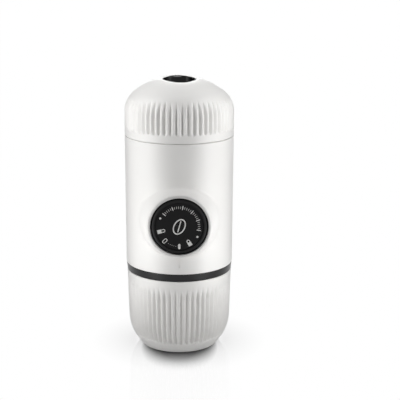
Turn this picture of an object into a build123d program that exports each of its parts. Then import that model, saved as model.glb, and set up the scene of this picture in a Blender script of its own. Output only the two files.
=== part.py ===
from build123d import *
import os
from math import atan2, cos, pi, radians, sin, sqrt, tan

# A hand-held espresso maker that stands on its cup. From the floor up it is a fluted cup with the
# water tank inside it, a smooth body that holds a piston pump lying across it, and a fluted head
# with the coffee basket under its dome. The main axis is Z and the floor is at zero. The pump's
# axis is parallel to Y, and its knob faces -Y, the front. All lengths are millimetres.

# Fits
fit_gap = 0.1            # round a piece that is pressed or glued into another
running_gap = 0.3        # between pieces that slide or turn past each other
seam_gap = 0.15          # the fine line between head and body

# Cup
cup_height = 44.9
cup_rim_inset = 0.8      # from the body's radius to the cup's at its rim
cup_taper = 1.0          # how much narrower the wall is at the shoulder than at the rim
cup_base_inset = 6.9     # from the shoulder's radius to the base's
cup_shoulder_height = 9.6
cup_bend = 24.0
cup_base_round = 0.5
cup_rim_round = 0.4
cup_wall = 2.2

# Flutes in the cup and in the head
flute_count = 60
flute_radius = 1.05
flute_depth = 0.75
cup_flute_turn = 2.0     # degrees from the front to the nearest groove
cup_flute_sweep = 21.0   # degrees that the groove follows the bend above the base
cup_flute_top = 37.0     # where the groove starts to fade out
cup_flute_fade = 16.0    # radius on which the groove leaves the wall
cup_fade_sweep = 22.0
head_flute_turn = 3.0
head_flute_rise = 5.8    # from the head's lower edge to the middle of the groove's round end
head_flute_ease = 5.5    # how much wider the groove bends than the shoulder it fades out on
head_fade_sweep = 38.0

# Water tank
under_tank_gap = 5.0
tank_side_gap = 1.1
tank_base_inset = 0.3
tank_shoulder_inset = 0.4
tank_slant_height = 5.3
tank_wall = 1.8
tank_bend = 14.0
tank_base_round = 1.0
tank_neck_height = 7.6
tank_flange_width = 1.7
tank_flange_thickness = 2.0
tank_seal_thickness = 1.0
collar_height = 4.5
collar_inset = 0.1       # from the cup's rim and the body's foot to the collar
collar_round = 0.4
collar_lip = 2.0         # how far the collar plugs into the cup
socket_gap = 0.7         # room for the screw thread between a neck and its socket

# Body
body_height = 73.9
body_radius = 31.0
body_taper = 0.3         # how much narrower the body is at its foot
body_wall = 2.5
edge_round = 0.4
ledge_width = 1.2
ledge_thickness = 2.0
tick_width = 1.0
tick_height = 4.5
tick_rise = 4.1          # from the body's lower edge to the tick's
tick_depth = 0.35

# Knob and the boss that it runs in, measured forward from the main axis
guide_clearance = 0.65   # between the knob's sleeve and the plate below it
pump_stroke = 12.5
knob_turn = 45.0         # degrees from locked to free
knob_proud = 1.0         # of the knob's front beyond the boss
knob_length = 32.5
knob_radius = 15.75
knob_wall = 1.85
knob_round = 2.2
knob_web = 2.2
face_radius = 13.3
face_thickness = 1.2
face_recess = 0.4
face_round = 0.3
boss_proud = 8.0         # of the boss's rim beyond the body's radius
boss_wall = 1.75
boss_blend = 2.6
boss_round = 0.5
knob_gap = 0.4
guide_wall = 1.7
lug_count = 2
lug_angle = 20.0
lug_height = 1.15
lug_thickness = 2.0
lug_gap = 0.5
window_side = 2.0        # degrees between a lug and the end of its window

# Pump
bore_radius = 6.5
pump_setback = 15.0      # from the inside of the shell to the back of the bore
pump_wall = 2.1
piston_length = 6.0
piston_gap = 0.25
piston_seal_width = 2.0
piston_seal_depth = 1.2
rod_radius = 3.2
rod_gap = 0.2
rod_guide_length = 2.6
rod_guide_flange = 1.0
seat_thickness = 2.0
seat_gap = 2.5           # between the spring's seat and the back of the knob
spring_radius = 11.2
spring_wire = 1.2
spring_coils = 6
wire_sides = 8           # flats that stand for the round wire
pad_width = 15.0
pad_inset = 5.5          # from the middle of the valve column to the back of the pad
column_radius = 5.2
column_offset = 4.0      # from the bore's end to the middle of the valve column
column_rise = 12.5       # of the column's top above the pump's axis
port_radius = 1.5
port_reach = 3.5         # of the narrow port each side of the pump's axis
bore_port_radius = 1.2
valve_stem_radius = 1.5
valve_flange = 1.0
valve_length = 4.5
tube_radius = 2.4
tube_wall = 0.9
tube_insert = 3.5
strainer_wall = 0.6
strainer_floor = 1.0
strainer_height = 5.0
strainer_gap = 0.6
strainer_slots = 6
strainer_slot_width = 1.0
strainer_slot_height = 1.6

# Frame inside the body
plate_thickness = 3.0
pillar_radius = 2.8
pillar_inset = 7.0       # from the frame's edge to the middle of a pillar
pillar_angles = [5.6, 51.5]
socket_wall = 2.0
pump_screw_inset = 2.5   # from the ends of the pump's pad to the screws under it
screw_radius = 1.5
screw_head_radius = 2.6
screw_head_height = 1.4
screw_length = 8.0
air_valve_place = (-12.5, 6.0)
air_valve_disc = 3.2
air_valve_stem = 1.4
air_valve_bulb = 2.0
air_valve_skirt = 0.8
upper_ledge_drop = 5.3   # from the body's top edge to the ledge under the upper plate
neck_height = 9.5
neck_inset = 4.0         # from the frame's edge to the neck
neck_wall = 4.6
screen_seat_depth = 1.5
screen_seat_width = 0.8
screen_thickness = 0.8
brew_seal_thickness = 0.8

# Head
head_shoulder_rise = 21.35
dome_break_rise = 28.55
dome_inset = 11.4        # from the head's radius to the bend in the dome
dome_top_slope = 26.5    # degrees
head_bend = 14.2
dome_bend = 60.0
head_wall = 2.4
outlet_radius = 9.9
outlet_round = 1.3
core_wall = 2.2
core_roof = 2.0
head_seal_inset = 0.5
basket_height = 14.3
basket_step = 0.6        # from the neck's bore to the basket's wall
basket_wall = 1.0
basket_rim_width = 1.8
basket_rim_thickness = 1.0
basket_round = 1.5
scoop_drop = 1.3         # from the scoop's closed end to the basket's floor
scoop_gap = 0.6
scoop_wall = 1.2
scoop_round = 2.0
scoop_step_height = 3.0
scoop_step_width = 0.7
outlet_screen_radius = 10.0
outlet_screen_thickness = 0.8
hole_radius = 1.2
hole_pitch = 7.4
outlet_port_radius = 3.0
valve_disc_radius = 4.2
valve_disc_thickness = 0.8
valve_slit = 0.4
nozzle_wall = 1.2
nozzle_floor = 1.0
nozzle_funnel = 1.4      # rise of the funnel from the drip hole to the wall
nozzle_drip_radius = 3.0
nozzle_lobes = 3
nozzle_lobe_radius = 5.0
nozzle_lobe_depth = 1.0
nozzle_lip_drop = 0.4    # from the dome's lip to the nozzle's

# Radii on the main axis
cup_rim_radius = body_radius - cup_rim_inset
cup_shoulder_radius = cup_rim_radius - cup_taper
cup_base_radius = cup_shoulder_radius - cup_base_inset
tank_radius = cup_rim_radius - cup_wall - tank_side_gap
body_foot_radius = body_radius - body_taper
collar_foot_radius = cup_rim_radius - collar_inset
collar_head_radius = body_foot_radius - collar_inset
body_inside = body_radius - body_wall
frame_radius = body_inside - running_gap
socket_radius = frame_radius - socket_wall
tank_neck_radius = socket_radius - socket_gap
tank_neck_inside = tank_neck_radius - tank_wall
neck_radius = frame_radius - neck_inset
neck_bore = neck_radius - neck_wall
screen_radius = neck_bore + screen_seat_width - fit_gap
head_radius = body_radius
head_inside = head_radius - head_wall
dome_break_radius = head_radius - dome_inset
core_skirt_radius = head_inside - running_gap
core_socket = neck_radius + socket_gap
basket_radius = neck_bore + basket_step
basket_inside = basket_radius - basket_wall
core_bore = basket_radius + running_gap
core_radius = core_bore + core_wall
scoop_radius = basket_inside - scoop_gap
nozzle_radius = outlet_radius - running_gap
boss_bore = knob_radius + knob_gap
boss_radius = boss_bore + boss_wall
guide_radius = boss_bore + guide_wall

# Levels on the main axis
tank_bottom = cup_wall + under_tank_gap
body_bottom = cup_height + collar_height
body_top = body_bottom + body_height
tank_top = body_bottom + tank_neck_height
lower_plate_bottom = tank_top + tank_seal_thickness
lower_plate_top = lower_plate_bottom + plate_thickness
upper_plate_bottom = body_top - upper_ledge_drop
upper_plate_top = upper_plate_bottom + plate_thickness
neck_top = upper_plate_top + neck_height
pump_height = lower_plate_top + guide_clearance + guide_radius
head_bottom = body_top + seam_gap
head_shoulder = head_bottom + head_shoulder_rise
dome_break = head_bottom + dome_break_rise
basket_bottom = neck_top + brew_seal_thickness
basket_top = basket_bottom + basket_height
screen_bottom = neck_top - screen_seat_depth
screen_top = screen_bottom + screen_thickness
scoop_top = basket_top - basket_wall - scoop_drop
core_ledge = basket_bottom + basket_rim_thickness + fit_gap
core_shoulder = core_ledge + core_roof
core_ceiling = basket_top + outlet_screen_thickness + fit_gap
core_top = core_ceiling + core_roof
lip_slope = radians(dome_top_slope)
dome_edge = dome_break + (dome_break_radius - outlet_radius) * tan(lip_slope)
lip_top = dome_edge - outlet_round * (tan(lip_slope) + 1 / cos(lip_slope) - 1)
nozzle_top = lip_top - nozzle_lip_drop
tank_floor = tank_bottom + tank_wall
strainer_bottom = tank_floor + strainer_gap
screw_seat = lower_plate_bottom + fit_gap + screw_head_height
screw_tip = screw_seat + screw_length

# Radii and places on the pump's axis, counted forward from the main axis
boss_reach = body_radius + boss_proud
knob_reach = boss_reach + knob_proud
knob_back = knob_reach - knob_length
bore_end = pump_setback - body_inside
knob_inside = knob_radius - knob_wall
lug_radius = knob_radius + lug_height
face_front = knob_reach - face_recess
face_back = face_front - face_thickness
web_back = face_back - knob_web
knob_screw_seat = face_back - fit_gap - screw_head_height
knob_screw_tip = knob_screw_seat - screw_length
pump_radius = bore_radius + pump_wall
piston_radius = bore_radius - piston_gap
piston_back = bore_end + running_gap
piston_front = piston_back + piston_length
rod_guide_back = piston_front + pump_stroke + running_gap
pump_front = rod_guide_back + rod_guide_length
seat_front = knob_back - seat_gap
seat_back = seat_front - seat_thickness
column_place = bore_end - column_offset
pad_back = column_place + pad_inset
pad_front = seat_front
pump_screw_places = [(0, -(pad_back + pump_screw_inset)), (0, -(pad_front - pump_screw_inset))]
pump_back = column_place
column_top = pump_height + column_rise
tube_inside = tube_radius - tube_wall
chamber_radius = tube_radius + fit_gap
inlet_tube_top = lower_plate_top + tube_insert
inlet_tube_bottom = strainer_bottom + strainer_floor + strainer_slot_height
outlet_tube_bottom = column_top - tube_insert
screw_hole = screw_radius + fit_gap

column_middle = (0, -column_place)   # the valve column stands behind the bore


def front(reach):
    """The plane that faces forward at a distance in front of the main axis."""
    return Plane(origin=(0, -reach, pump_height), x_dir=(1, 0, 0), z_dir=(0, -1, 0))


def dome_height(radius, inset=0.0):
    """Height of the dome's straight flank at a radius, or of a parallel line below it."""
    slope = (dome_break - head_shoulder) / (head_radius - dome_break_radius)
    return head_shoulder + (head_radius - radius) * slope - inset * sqrt(1 + slope**2)


def dome_radius(height, inset=0.0):
    """Radius at which that line reaches a height."""
    drop = dome_height(0, inset) - dome_height(1, inset)
    return (dome_height(0, inset) - height) / drop


def ring(inner, outer, bottom, top, mode=Mode.ADD):
    """A ring about the main axis, or a disc where the inner radius is zero."""
    with BuildSketch(Plane.XY.offset(bottom)) as section:
        Circle(outer)
        if inner > 0:
            Circle(inner, mode=Mode.SUBTRACT)
    extrude(section.sketch, amount=top - bottom, mode=mode)


def pump_ring(inner, outer, back, front_end, mode=Mode.ADD):
    """A ring about the pump's axis, or a disc where the inner radius is zero."""
    with BuildSketch(front(back)) as section:
        Circle(outer)
        if inner > 0:
            Circle(inner, mode=Mode.SUBTRACT)
    extrude(section.sketch, amount=front_end - back, mode=mode)


def sector(radius, start, sweep_angle, back, front_end, mode=Mode.ADD):
    """A wedge about the pump's axis, its angles counted from +X as seen from the front."""
    with BuildSketch(front(back)) as section:
        with BuildLine():
            arc = CenterArc((0, 0), radius, start, sweep_angle)
            Line((0, 0), arc @ 0)
            Line((0, 0), arc @ 1)
        make_face()
    extrude(section.sketch, amount=front_end - back, mode=mode)


def rod(radius, place, bottom, top, mode=Mode.ADD):
    """A round rod, parallel to the main axis."""
    with BuildSketch(Plane.XY.offset(bottom)) as section:
        with Locations(place):
            Circle(radius)
    extrude(section.sketch, amount=top - bottom, mode=mode)


def perforate(reach, bottom, top):
    """Holes through a round screen, in rings of six, twelve and so on about one in the middle."""
    with BuildSketch(Plane.XY.offset(bottom)) as section:
        Circle(hole_radius)
        ring_number = 1
        while ring_number * hole_pitch < reach:
            with PolarLocations(ring_number * hole_pitch, 6 * ring_number):
                Circle(hole_radius)
            ring_number += 1
    extrude(section.sketch, amount=top - bottom, mode=Mode.SUBTRACT)


def both_sides(places):
    """The places and their mirror images across the plane of the pump's axis."""
    return [(side * x, y) for x, y in places for side in (-1, 1)]


def save(part, name):
    part.label = name
    export_step(part, f"parts/{name}.step")


os.makedirs("parts", exist_ok=True)
pillar_circle = frame_radius - pillar_inset
pillar_places = both_sides(
    [(pillar_circle * cos(radians(a)), pillar_circle * sin(radians(a))) for a in pillar_angles]
)
screw_places = pillar_places + pump_screw_places
groove_offset = flute_radius - flute_depth

# The groove cutter of the cup: a round bar along the wall. It follows the bend above the base,
# and leaves the wall on an arc below the rim.
slant_angle = atan2(cup_shoulder_height, cup_shoulder_radius - cup_base_radius)
wall_angle = atan2(cup_height - cup_shoulder_height, cup_rim_radius - cup_shoulder_radius)
bend_start = cup_bend * tan((wall_angle - slant_angle) / 2)
bend_top = cup_shoulder_height + bend_start


def cup_radius(height):
    """The cup's outer radius on the straight part of its wall."""
    return cup_shoulder_radius + (height - cup_shoulder_height) / tan(wall_angle)


def bar_section(middle, along):
    """The bar's round section in the plane of the front, square to a direction in that plane."""
    with BuildSketch(Plane(origin=middle, z_dir=along)) as section:
        Circle(flute_radius)
    return section.sketch


with BuildPart() as cup_groove:
    up = Vector(cos(wall_angle), 0, sin(wall_angle))
    out = Vector(sin(wall_angle), 0, -cos(wall_angle))
    wall_foot = Vector(cup_radius(bend_top) + groove_offset, 0, bend_top)
    wall_length = (cup_flute_top - bend_top) / sin(wall_angle)
    wall_head = wall_foot + up * wall_length
    bend_middle = wall_foot - out * (cup_bend + groove_offset)
    fade_middle = wall_head + out * cup_flute_fade
    extrude(bar_section(wall_foot, up), amount=wall_length)
    revolve(bar_section(wall_foot, up), Axis(bend_middle, (0, 1, 0)), cup_flute_sweep)
    revolve(bar_section(wall_head, up), Axis(fade_middle, (0, 1, 0)), cup_fade_sweep)
    groove_end = bend_middle + (wall_foot - bend_middle).rotate(Axis.Y, cup_flute_sweep)
    with Locations(groove_end):
        Sphere(flute_radius)

# The cup, open at the top
with BuildPart() as cup:
    with BuildSketch(Plane.XZ):
        with BuildLine():
            FilletPolyline(
                (0, 0),
                (cup_base_radius, 0),
                (cup_shoulder_radius, cup_shoulder_height),
                (cup_radius(cup_height + cup_wall), cup_height + cup_wall),
                radius=[0, cup_bend],
            )
            offset(amount=cup_wall, side=Side.LEFT)
        make_face()
    revolve(axis=Axis.Z)
    split(bisect_by=Plane.XY.offset(cup_height), keep=Keep.BOTTOM)
    base_edge = cup.edges().group_by(Axis.Z)[0]
    fillet(base_edge, radius=cup_base_round)
    rim = cup.faces().sort_by(Axis.Z)[-1]
    fillet(rim.edges(), radius=cup_rim_round)
    with PolarLocations(0, flute_count, start_angle=cup_flute_turn - 90):
        add(cup_groove.part, mode=Mode.SUBTRACT)
save(cup.part, "cup")

# The water tank: a vessel of the cup's shape, its screwed neck, and a flange for the collar
with BuildPart() as tank:
    with BuildSketch(Plane.XZ):
        with BuildLine():
            FilletPolyline(
                (0, tank_bottom),
                (cup_base_radius - tank_base_inset, tank_bottom),
                (tank_radius - tank_shoulder_inset, tank_bottom + tank_slant_height),
                (tank_radius, body_bottom - tank_wall),
                radius=[0, tank_bend],
            )
            offset(amount=tank_wall, side=Side.LEFT)
        make_face()
    revolve(axis=Axis.Z)
    fillet(tank.edges().group_by(Axis.Z)[0], radius=tank_base_round)
    ring(tank_neck_inside, tank_radius, body_bottom - tank_wall, body_bottom)
    ring(tank_neck_inside, tank_neck_radius, body_bottom - tank_wall, tank_top)
    flange_bottom = cup_height + (collar_height - tank_flange_thickness) / 2
    flange_top = flange_bottom + tank_flange_thickness
    flange_radius = tank_radius + tank_flange_width
    ring(tank_radius - tank_wall / 2, flange_radius, flange_bottom, flange_top)
save(tank.part, "tank")

# The black collar, moulded round the tank's flange, with a lip that plugs the cup
with BuildPart() as tank_collar:
    collar_inside = tank_radius + fit_gap
    with BuildSketch(Plane.XZ):
        with BuildLine():
            Polyline(
                (collar_inside, cup_height),
                (collar_foot_radius, cup_height),
                (collar_head_radius, body_bottom),
                (collar_inside, body_bottom),
                close=True,
            )
        make_face()
    revolve(axis=Axis.Z)
    lip_radius = cup_radius(cup_height - collar_lip) - cup_wall - running_gap
    ring(collar_inside, lip_radius, cup_height - collar_lip, cup_height)
    ring(collar_inside, flange_radius, flange_bottom, flange_top, mode=Mode.SUBTRACT)
    outer_edges = tank_collar.edges().filter_by(GeomType.CIRCLE).sort_by(SortBy.RADIUS)[-2:]
    fillet(outer_edges, radius=collar_round)
save(tank_collar.part, "tank_collar")

# The flat ring that seals the tank's neck against the body
with BuildPart() as tank_gasket:
    ring(tank_neck_inside, tank_neck_radius, tank_top, lower_plate_bottom)
save(tank_gasket.part, "tank_gasket")

# The body's shell: a slightly tapered tube with the round boss that the knob runs in
with BuildPart() as body_shell:
    with BuildSketch(Plane.XZ):
        with BuildLine():
            Polyline(
                (0, body_bottom),
                (body_foot_radius, body_bottom),
                (body_radius, body_top),
                (0, body_top),
                close=True,
            )
        make_face()
    revolve(axis=Axis.Z)
    rims = body_shell.edges().filter_by(GeomType.CIRCLE)
    fillet(rims, radius=edge_round)
    pump_ring(0, boss_radius, 0, boss_reach)
    boss_root = body_shell.edges().filter_by(GeomType.BSPLINE)
    fillet(boss_root, radius=boss_blend)
    boss_rim = body_shell.edges().filter_by(GeomType.CIRCLE).sort_by(Axis.Y)[0]
    fillet(boss_rim, radius=boss_round)
    ring(0, body_inside, body_bottom, body_top, mode=Mode.SUBTRACT)
    for ledge in (lower_plate_top, upper_plate_bottom - ledge_thickness):
        ring(body_inside - ledge_width, body_inside, ledge, ledge + ledge_thickness)
    pump_ring(0, boss_bore, 0, boss_reach, mode=Mode.SUBTRACT)
    tick_middle = body_bottom + tick_rise + tick_height / 2 - pump_height
    tick_radius = body_foot_radius + (body_radius - body_foot_radius) * tick_rise / body_height
    with BuildSketch(front(tick_radius - tick_depth)) as tick:
        with Locations((0, tick_middle)):
            SlotOverall(tick_height, tick_width, rotation=90)
    extrude(tick.sketch, amount=2 * tick_depth, mode=Mode.SUBTRACT)
save(body_shell.part, "body_shell")

# The lower frame: the socket that takes the tank's neck, under the plate that carries the pump
with BuildPart() as lower_frame:
    ring(socket_radius, frame_radius, body_bottom + seam_gap, lower_plate_bottom)
    ring(0, frame_radius, lower_plate_bottom, lower_plate_top)
    for place in screw_places:
        rod(screw_hole, place, lower_plate_bottom, lower_plate_top, mode=Mode.SUBTRACT)
        rod(screw_head_radius + fit_gap, place, lower_plate_bottom, screw_seat,
            mode=Mode.SUBTRACT)
    rod(chamber_radius, column_middle, lower_plate_bottom, lower_plate_top, mode=Mode.SUBTRACT)
    rod(air_valve_stem + fit_gap, air_valve_place, lower_plate_bottom, lower_plate_top,
        mode=Mode.SUBTRACT)
save(lower_frame.part, "lower_frame")

# The upper frame: a plate on four pillars
with BuildPart() as upper_frame:
    ring(0, frame_radius, upper_plate_bottom, upper_plate_top)
    for place in pillar_places:
        rod(pillar_radius, place, lower_plate_top, upper_plate_bottom)
        rod(screw_hole, place, lower_plate_top, screw_tip + fit_gap, mode=Mode.SUBTRACT)
    rod(chamber_radius, column_middle, upper_plate_bottom, upper_plate_top, mode=Mode.SUBTRACT)
save(upper_frame.part, "upper_frame")

# The neck on that plate, which the head screws on. The shower screen lies in a step of its bore.
with BuildPart() as neck_ring:
    ring(neck_bore, neck_radius, upper_plate_top, neck_top)
    ring(0, neck_bore + screen_seat_width, screen_bottom, neck_top, mode=Mode.SUBTRACT)
save(neck_ring.part, "neck_ring")

# The pump's block: the bore, closed behind, the spring's seat round it, and the valve column.
# In front of the bore it stays open for the bush and the rod.
with BuildPart() as pump_block:
    pump_ring(0, pump_radius, pump_back, pump_front)
    pump_ring(0, guide_radius, seat_back, seat_front)
    with BuildSketch(Plane.XY.offset(lower_plate_top)):
        with Locations((0, -(pad_back + pad_front) / 2)):
            Rectangle(pad_width, pad_front - pad_back)
    extrude(amount=pump_height - lower_plate_top)
    rod(column_radius, column_middle, lower_plate_top, column_top)
    port_bottom = pump_height - port_reach
    port_top = pump_height + port_reach
    rod(port_radius, column_middle, lower_plate_top, column_top, mode=Mode.SUBTRACT)
    rod(chamber_radius, column_middle, lower_plate_top, port_bottom, mode=Mode.SUBTRACT)
    rod(chamber_radius, column_middle, port_top, column_top, mode=Mode.SUBTRACT)
    pump_ring(0, bore_radius, bore_end, pump_front, mode=Mode.SUBTRACT)
    pump_ring(0, pump_radius + fit_gap, pump_front, knob_back + pump_stroke, mode=Mode.SUBTRACT)
    pump_ring(0, bore_port_radius, column_place, bore_end, mode=Mode.SUBTRACT)
    for place in pump_screw_places:
        rod(screw_hole, place, lower_plate_top, screw_tip + fit_gap, mode=Mode.SUBTRACT)
save(pump_block.part, "pump_block")

# Six screws, up through the lower plate into the pillars and the pump's block
with BuildPart() as frame_screws:
    for place in screw_places:
        rod(screw_head_radius, place, lower_plate_bottom + fit_gap, screw_seat)
        rod(screw_radius, place, screw_seat, screw_tip)
save(frame_screws.part, "frame_screws")

# The sleeve behind the boss. Its front follows the inside of the shell, and the knob's lugs
# travel in its windows.
with BuildPart() as knob_guide:
    pump_ring(boss_bore, guide_radius, seat_front, body_inside)
    with Locations((0, 0, pump_height)):
        Cylinder(
            body_inside - ledge_width - running_gap,
            2 * body_inside,
            mode=Mode.INTERSECT,
        )
    lug_turn = 360 / lug_count
    window_angle = knob_turn + lug_angle + 2 * window_side
    window_back = knob_back - lug_gap
    window_front = knob_back + lug_thickness + pump_stroke + lug_gap
    for lug in range(lug_count):
        window_start = 90 + lug * lug_turn - window_angle / 2
        sector(2 * guide_radius, window_start, window_angle, window_back, window_front,
               mode=Mode.SUBTRACT)
save(knob_guide.part, "knob_guide")

# The knob: a deep cup with a rounded rim, and lugs round its back edge
with BuildPart() as knob:
    pump_ring(0, knob_radius, knob_back, knob_reach)
    fillet(knob.edges().sort_by(Axis.Y)[0], radius=knob_round)
    pump_ring(0, face_radius + fit_gap, face_back, knob_reach, mode=Mode.SUBTRACT)
    pump_ring(0, knob_inside, knob_back, web_back, mode=Mode.SUBTRACT)
    for lug in range(lug_count):
        lug_start = 90 + lug * lug_turn - (knob_turn + lug_angle) / 2
        sector(lug_radius, lug_start, lug_angle, knob_back, knob_back + lug_thickness)
    pump_ring(0, knob_inside, knob_back, knob_back + lug_thickness, mode=Mode.SUBTRACT)
    pump_ring(0, screw_hole, web_back, face_back, mode=Mode.SUBTRACT)
    pump_ring(0, screw_head_radius + fit_gap, knob_screw_seat, face_back, mode=Mode.SUBTRACT)
save(knob.part, "knob")

# The disc let into the knob's front
with BuildPart() as knob_face:
    pump_ring(0, face_radius, face_back, face_front)
    fillet(knob_face.edges().sort_by(Axis.Y)[0], radius=face_round)
save(knob_face.part, "knob_face")

# The screw under the disc holds the knob to the piston's rod and lets it turn
with BuildPart() as knob_screw:
    pump_ring(0, screw_head_radius, knob_screw_seat, knob_screw_seat + screw_head_height)
    pump_ring(0, screw_radius, knob_screw_tip, knob_screw_seat)
save(knob_screw.part, "knob_screw")

# The piston and its rod, in one
with BuildPart() as piston:
    pump_ring(0, piston_radius, piston_back, piston_front)
    pump_ring(0, rod_radius, piston_front, web_back)
    seal_back = (piston_back + piston_front - piston_seal_width) / 2
    seal_front = seal_back + piston_seal_width
    groove_radius = piston_radius - piston_seal_depth
    pump_ring(groove_radius, bore_radius, seal_back, seal_front, mode=Mode.SUBTRACT)
    pump_ring(0, screw_hole, knob_screw_tip - fit_gap, web_back, mode=Mode.SUBTRACT)
save(piston.part, "piston")

# The seal in the piston's groove
with BuildPart() as piston_seal:
    pump_ring(groove_radius, bore_radius - fit_gap, seal_back, seal_front)
save(piston_seal.part, "piston_seal")

# The bush that closes the bore round the rod and stops the piston
with BuildPart() as rod_guide:
    pump_ring(rod_radius + rod_gap, bore_radius - fit_gap, rod_guide_back, pump_front)
    pump_ring(rod_radius + rod_gap, pump_radius, pump_front, pump_front + rod_guide_flange)
save(rod_guide.part, "rod_guide")

# The spring that pushes the knob out
with BuildPart() as pump_spring:
    spring_height = web_back - seat_front - spring_wire
    spring_start = (0, -(seat_front + spring_wire / 2), pump_height)
    pitch = spring_height / spring_coils
    with BuildLine() as coil:
        Helix(pitch, spring_height, spring_radius, center=spring_start, direction=(0, -1, 0))
    coil_wire = coil.wires()[0]
    with BuildSketch(Plane(origin=coil_wire @ 0, z_dir=coil_wire % 0)):
        RegularPolygon(spring_wire / 2, wire_sides)
    sweep(path=coil_wire, is_frenet=True)
save(pump_spring.part, "pump_spring")

# The tube that draws from the tank, and the strainer on its end
with BuildPart() as inlet_tube:
    rod(tube_radius, column_middle, inlet_tube_bottom, inlet_tube_top)
    rod(tube_inside, column_middle, inlet_tube_bottom, inlet_tube_top, mode=Mode.SUBTRACT)
save(inlet_tube.part, "inlet_tube")

with BuildPart() as inlet_strainer:
    strainer_top = strainer_bottom + strainer_height
    strainer_inside = tube_radius + fit_gap
    cage_bottom = strainer_bottom + strainer_floor
    rod(strainer_inside + strainer_wall, column_middle, strainer_bottom, strainer_top)
    rod(strainer_inside, column_middle, cage_bottom, strainer_top, mode=Mode.SUBTRACT)
    with BuildSketch(Plane.XY.offset(cage_bottom)) as slots:
        with Locations(column_middle):
            with PolarLocations(strainer_inside, strainer_slots):
                Rectangle(2 * strainer_inside, strainer_slot_width)
    extrude(slots.sketch, amount=inlet_tube_bottom - cage_bottom, mode=Mode.SUBTRACT)
save(inlet_strainer.part, "inlet_strainer")


def duckbill(bottom):
    """A one-way valve: a flange and a stem that narrows to a beak."""
    rod(tube_radius, column_middle, bottom, bottom + valve_flange)
    with BuildSketch(Plane.XY.offset(bottom + valve_flange)) as root:
        with Locations(column_middle):
            Circle(valve_stem_radius)
    with BuildSketch(Plane.XY.offset(bottom + valve_length)) as beak:
        with Locations(column_middle):
            Ellipse(valve_stem_radius, valve_stem_radius / 3)
    loft(Sketch() + [root.sketch, beak.sketch])


# The two valves of the pump, one each side of its port
with BuildPart() as inlet_valve:
    duckbill(inlet_tube_top)
save(inlet_valve.part, "inlet_valve")

with BuildPart() as outlet_valve:
    duckbill(port_top)
save(outlet_valve.part, "outlet_valve")

# The tube from the pump up into the neck
with BuildPart() as outlet_tube:
    rod(tube_radius, column_middle, outlet_tube_bottom, upper_plate_top)
    rod(tube_inside, column_middle, outlet_tube_bottom, upper_plate_top, mode=Mode.SUBTRACT)
save(outlet_tube.part, "outlet_tube")

# The rubber valve that lets air into the tank
with BuildPart() as air_valve:
    disc_bottom = lower_plate_bottom - air_valve_skirt
    rod(air_valve_disc, air_valve_place, disc_bottom, lower_plate_bottom)
    rod(air_valve_stem, air_valve_place, lower_plate_bottom, lower_plate_top)
    rod(air_valve_bulb, air_valve_place, lower_plate_top, lower_plate_top + air_valve_skirt)
save(air_valve.part, "air_valve")

# The screen that spreads the water over the coffee
with BuildPart() as shower_screen:
    ring(0, screen_radius, screen_bottom, screen_top)
    perforate(screen_radius - hole_pitch / 2, screen_bottom, screen_top)
save(shower_screen.part, "shower_screen")

# The ring that seals the basket's rim on the neck
with BuildPart() as brew_seal:
    ring(neck_bore + screen_seat_width + fit_gap, neck_radius - fit_gap, neck_top, basket_bottom)
save(brew_seal.part, "brew_seal")

# The basket, upside down over the screen
with BuildPart() as filter_basket:
    ring(0, basket_radius, basket_bottom, basket_top)
    fillet(filter_basket.edges().group_by(Axis.Z)[-1], radius=basket_round)
    ring(0, basket_inside, basket_bottom, basket_top - basket_wall, mode=Mode.SUBTRACT)
    rim_top = basket_bottom + basket_rim_thickness
    ring(basket_inside, basket_radius + basket_rim_width, basket_bottom, rim_top)
    perforate(basket_inside - hole_pitch / 2, basket_top - basket_wall, basket_top)
save(filter_basket.part, "filter_basket")

# The scoop, stored upside down in the basket. Its closed end steps in, for tamping.
with BuildPart() as scoop:
    ring(0, scoop_radius, screen_top, scoop_top - scoop_step_height)
    ring(0, scoop_radius - scoop_step_width, screen_top, scoop_top)
    fillet(scoop.edges().group_by(Axis.Z)[-1], radius=scoop_round)
    bowl_radius = scoop_radius - scoop_step_width - scoop_wall
    ring(0, bowl_radius, screen_top, scoop_top - scoop_wall, mode=Mode.SUBTRACT)
save(scoop.part, "scoop")

# The ring between the body and the head's core
with BuildPart() as head_gasket:
    ring(
        neck_radius + running_gap,
        core_skirt_radius - head_seal_inset,
        upper_plate_top,
        head_bottom - running_gap,
    )
save(head_gasket.part, "head_gasket")

# The groove cutter of the head: it bends in less sharply than the shoulder and so fades out
with BuildPart() as head_groove:
    flank_angle = atan2(dome_break - head_shoulder, head_radius - dome_break_radius)
    shoulder_start = head_shoulder - head_bend * tan((pi / 2 - flank_angle) / 2)
    wall_foot = Vector(head_radius + groove_offset, 0, head_bottom + head_flute_rise)
    wall_head = Vector(head_radius + groove_offset, 0, shoulder_start)
    bend_middle = wall_head - Vector(head_bend + head_flute_ease, 0, 0)
    extrude(bar_section(wall_foot, (0, 0, 1)), amount=shoulder_start - wall_foot.Z)
    revolve(bar_section(wall_head, (0, 0, 1)), Axis(bend_middle, (0, -1, 0)), head_fade_sweep)
    with Locations(wall_foot):
        Sphere(flute_radius)

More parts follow.
